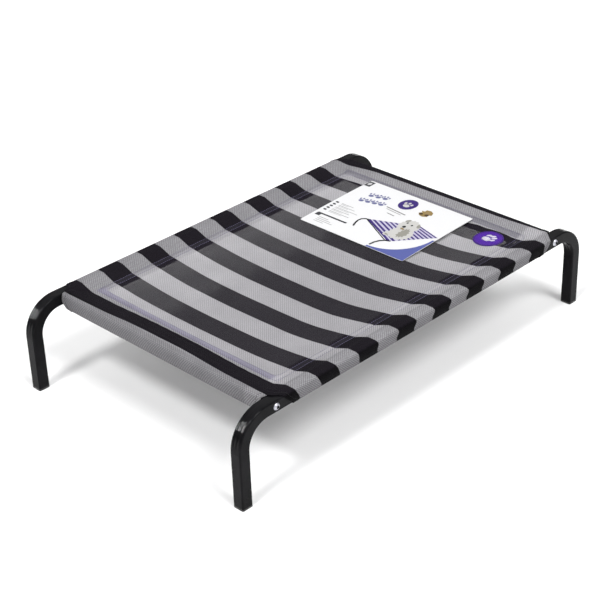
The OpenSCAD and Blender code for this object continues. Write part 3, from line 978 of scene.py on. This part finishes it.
def printed_shape(outline, level):
    """Flat outline cut into small triangles and laid on the card: (points, faces)."""
    outline = np.clip(outline, [0.5, 0.5], [CARD_LONG / MM - 0.5, CARD_WIDE / MM - 0.5])
    work = bmesh.new()
    work.faces.new([work.verts.new((x, y, 0)) for x, y in outline])
    bmesh.ops.triangulate(work, faces=work.faces[:])
    longest = 12.0
    for _ in range(5):
        long_edges = [e for e in work.edges if e.calc_length() > longest]
        if not long_edges:
            break
        bmesh.ops.subdivide_edges(work, edges=long_edges, cuts=1)
        bmesh.ops.triangulate(work, faces=work.faces[:])
    work.verts.index_update()
    flat = np.array([v.co[:2] for v in work.verts])
    faces = [[v.index for v in f.verts] for f in work.faces]
    work.free()
    points = card_place(flat[:, 0] * MM / CARD_LONG, flat[:, 1] * MM / CARD_WIDE, (0.03 + 0.045 * level) * MM)
    spots = [points[f] for f in faces]
    faces = [f if np.cross(s[1] - s[0], s[2] - s[0])[2] > 0 else f[::-1] for f, s in zip(faces, spots)]
    return points, faces


def make_print(inks):
    """All printed shapes as one thin piece on the card."""
    names = sorted(inks)
    points, faces, picks = [], [], []
    for ink, level, outline in card_print():
        spots, shape = printed_shape(outline, level)
        faces += [[i + len(points) for i in f] for f in shape]
        points += list(spots)
        picks += [names.index(ink)] * len(shape)
    return new_piece("card_print", points, faces, [inks[n] for n in names], smooth=False, picks=picks)


# ---- stage, lights and camera

def make_floor():
    """Large plain floor, pale, with the faintest mottle."""
    s = Shader("studio_floor")
    mottle = s.noise(s.place(), 3.0, 3.0)
    pale = s.set(Base_Color=s.mix(mottle, grey(0.76), grey(0.775)), Roughness=0.7, Specular_IOR_Level=0.2,
                 Emission_Color=grey(1.0), Emission_Strength=0.15)
    rings, around, reach, level = 24, 96, 14.0, -0.4 * MM
    points = [(0, 0, level)]
    for ring in range(1, rings + 1):
        radius = reach * (ring / rings) ** 2
        points += [(radius * math.cos(a), radius * math.sin(a), level) for a in round_turn(around)]
    floor = new_piece("studio_floor", points, disc_faces(rings, around), [pale])


def make_world():
    """White to the camera. To everything else it brightens from low to high, and towards +X."""
    world = bpy.data.worlds.new("studio")
    world.use_nodes = True
    s = Nodes(world.node_tree)
    background = s.tree.nodes["Background"]
    background.inputs[0].default_value = grey(1.0)
    x, _, z = s.split(s.node("TexCoord").outputs["Generated"])
    glow = s.times(s.step(z, 0.30, 0.62, 0.25, 0.62), s.math("MULTIPLY_ADD", x, 0.3, 1.0))
    to_camera = s.node("LightPath").outputs["Is Camera Ray"]
    s.feed(background.inputs[1], s.math("MAXIMUM", glow, to_camera))
    bpy.context.scene.world = world


def add_light(name, kind, direction, power):
    """Light that shines from a direction: (its object, its data)."""
    data = bpy.data.lights.new(name, kind)
    data.energy = power
    light = link(bpy.data.objects.new(name, data))
    light.rotation_euler = Vector(direction).normalized().to_track_quat("Z", "Y").to_euler()
    return light, data


def make_lights():
    """Two soft suns, and a narrow strip that only shows as a reflection on the frame's left side."""
    for name, direction, power, angle in (("key_front", (-0.02, -0.70, 1.0), 2.1, 22),
                                          ("key_left", (-0.60, -0.06, 1.0), 2.0, 12)):
        _, sun = add_light(name, "SUN", direction, power)
        sun.angle = math.radians(angle)
    towards, distance = (-0.66, 0.60, 0.45), 3.0
    light, strip = add_light("strip_left", "AREA", towards, 140)
    strip.shape = "RECTANGLE"
    strip.size, strip.size_y = 0.06, 1.2
    light.visible_diffuse = False
    light.location = Vector((0, 0, 0.1)) + Vector(towards).normalized() * distance


def make_camera():
    """Camera that looks at a point near the middle of the bed, from a turn, a tilt and a roll."""
    azimuth, elevation, roll = (math.radians(a) for a in (-44.749, 29.748, -1.989))
    target = Vector((-16.7, 21.8, 100)) * MM
    distance = 3.1552
    back = Vector((math.sin(azimuth) * math.cos(elevation), -math.cos(azimuth) * math.cos(elevation),
                   math.sin(elevation)))
    side = Vector((0, 0, 1)).cross(back).normalized()
    up = back.cross(side)
    right = math.cos(roll) * side + math.sin(roll) * up
    top = -math.sin(roll) * side + math.cos(roll) * up
    data = bpy.data.cameras.new("camera")
    data.sensor_width = 36
    data.lens = 92.149
    camera = link(bpy.data.objects.new("camera", data))
    turned = Matrix((right, top, back)).transposed().to_4x4()
    camera.matrix_world = Matrix.Translation(target + back * distance) @ turned
    bpy.context.scene.camera = camera


# ---- build

def paint(names, material):
    for name in names:
        mesh = nodes[name].data
        mesh.materials.clear()
        mesh.materials.append(material)


def build():
    make_camera()
    bpy.context.scene.view_settings.view_transform = "Standard"

    corners = [f"{end}_{side}" for end in ("near", "far") for side in ("left", "right")]
    paint(["side_rail_left", "side_rail_right", "crossbar_near", "crossbar_far"], powder_coat())
    paint([f"foot_cap_{c}" for c in corners], satin_plastic("cap_polythene", grey(0.012), grey(0.022)))
    paint([f"end_plug_{c}" for c in corners], satin_plastic("plug_nylon", grey(0.05), grey(0.075), 500.0))
    paint(["corner_bolts"], zinc_plate())

    sling = make_sling(striped_mesh())
    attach(sling, "frame")
    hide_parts("sling_panel", "sleeve_left", "sleeve_right", "sleeve_near", "sleeve_far")

    seam_thread = twisted_thread("seam_thread", colour(0.085, 0.078, 0.14), colour(0.17, 0.155, 0.26))
    seam = make_seam_threads(seam_thread, twisted_thread("hem_thread", grey(0.006), grey(0.014)))
    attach(seam, "frame")
    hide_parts("seam_stitching")

    badge = make_badge(badge_cloth())
    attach(badge, "frame")
    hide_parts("badge")
    badge_thread = twisted_thread("badge_thread", colour(0.03, 0.007, 0.125), colour(0.066, 0.017, 0.25))
    edge = make_badge_threads(badge_thread)
    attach(edge, "frame")
    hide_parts("badge_stitching")
    paw = make_paw(twisted_thread("paw_thread", colour(0.45, 0.43, 0.52), colour(0.72, 0.71, 0.76)))
    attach(paw, "frame")

    card = make_card(coated_card("card_white", colour(0.60, 0.60, 0.61), colour(0.64, 0.64, 0.645)))
    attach(card, "card")
    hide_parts("printed_card")
    inks = {
        "purple": (0.055, 0.022, 0.24), "lilac": (0.78, 0.75, 0.95), "black": (0.008, 0.008, 0.010),
        "fur": (0.82, 0.81, 0.78), "shade": (0.42, 0.41, 0.36), "tan": (0.42, 0.30, 0.14),
        "periwinkle": (0.135, 0.165, 0.50), "gold": (0.42, 0.29, 0.10), "brown": (0.07, 0.04, 0.02),
        "slate": (0.19, 0.20, 0.42), "white": (0.84, 0.84, 0.85), "grey": (0.30, 0.30, 0.30),
        "pale": (0.42, 0.42, 0.43), "slate_black": (0.055, 0.055, 0.065),
    }
    made = {}
    for name, rgb in inks.items():
        low, high = (colour(*[share * c for c in rgb]) for share in (0.51, 0.58))
        made[name] = coated_card("ink_" + name, low, high)
    printing = make_print(made)
    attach(printing, "card")

    make_floor()
    make_world()
    make_lights()


build()
